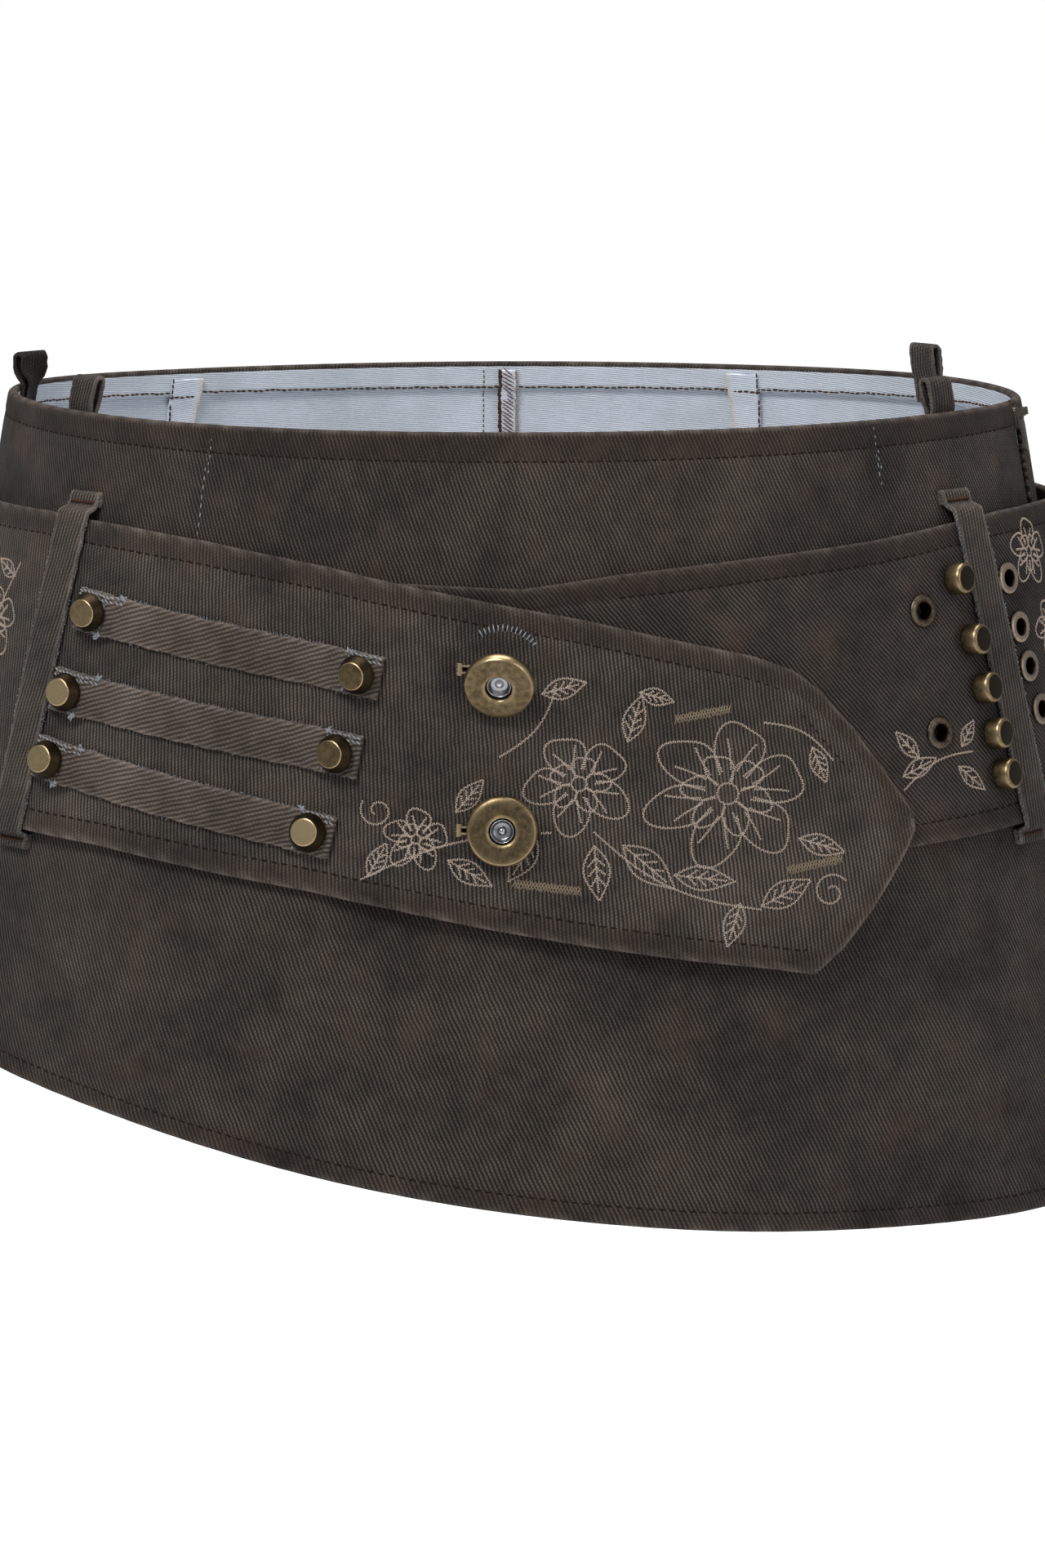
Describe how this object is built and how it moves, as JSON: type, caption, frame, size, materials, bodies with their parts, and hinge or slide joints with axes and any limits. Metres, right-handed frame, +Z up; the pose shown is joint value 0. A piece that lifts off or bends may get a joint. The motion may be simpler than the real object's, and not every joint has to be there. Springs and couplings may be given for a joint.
{
  "type": "wrap-belt mini skirt",
  "caption": "Low-rise twill mini skirt, worn and hollow, with a wide pointed wrap belt under long loops, fastened by ring buttons, with studs, eyelets, strap tapes and a side zip.",
  "frame": {"origin": "centre of the waist opening, level with the waist edge", "axes": "+Z up the wearer, the front faces -Y, +X is the wearer's left"},
  "size_m": [0.3703, 0.2701, 0.2531],
  "materials": {
    "skirt_cloth": "washed brown-grey twill, worn lighter on its ribs",
    "belt_cloth": "washed brown-grey twill, two layers, topstitched",
    "twill_tape": "raw-edged coarse twill tape with frayed edges",
    "seam_allowance": "overlocked cloth edge in tan thread",
    "zip_tape": "dark woven zip tape",
    "zip_metal": "dark nickel",
    "button_brass": "antique brass, brighter where worn",
    "button_core": "dull nickel",
    "stud_brass": "antique brass, bright caps",
    "eyelet_brass": "antique brass"
  },
  "bodies": {
    "garment": {"back_seam_allowance": "seam_allowance", "belt_back": "belt_cloth", "belt_flap": "belt_cloth", "belt_loop_back_left": "twill_tape", "belt_loop_back_right": "twill_tape", "belt_loop_front_left": "twill_tape", "belt_loop_front_right": "twill_tape", "belt_underlap": "belt_cloth", "button_lower": "button_brass", "button_lower_core": "button_core", "button_upper": "button_brass", "button_upper_core": "button_core", "dart_back_left": "skirt_cloth", "dart_back_right": "skirt_cloth", "dart_front_left": "skirt_cloth", "dart_front_right": "skirt_cloth", "eyelet_left_bottom": "eyelet_brass", "eyelet_left_top": "eyelet_brass", "eyelet_right_1": "eyelet_brass", "eyelet_right_2": "eyelet_brass", "eyelet_right_3": "eyelet_brass", "eyelet_right_4": "eyelet_brass", "skirt_back_left": "skirt_cloth", "skirt_back_right": "skirt_cloth", "skirt_front": "skirt_cloth", "strap_bottom": "twill_tape", "strap_middle": "twill_tape", "strap_top": "twill_tape", "stud_bottom_left": "stud_brass", "stud_bottom_right": "stud_brass", "stud_column_1": "stud_brass", "stud_column_2": "stud_brass", "stud_column_3": "stud_brass", "stud_column_4": "stud_brass", "stud_column_5": "stud_brass", "stud_middle_left": "stud_brass", "stud_middle_right": "stud_brass", "stud_top_left": "stud_brass", "stud_top_right": "stud_brass", "waist_loop_back_left": "twill_tape", "waist_loop_back_right": "twill_tape", "waist_loop_front_left": "twill_tape", "waist_loop_front_right": "twill_tape", "zip_slider": "zip_metal", "zip_tape_back": "zip_tape", "zip_tape_front": "zip_tape"},
    "pull_tab": {"zip_pull": "zip_metal"}
  },
  "joints": [
    {"name": "pull_tab_hinge", "type": "hinge", "parent": "garment", "child": "pull_tab", "pos_m": [0.15437, -0.02565, -0.00196], "axis": [-0.3188, -0.9475, -0.0253], "range_deg": [0, 150]}
  ]
}
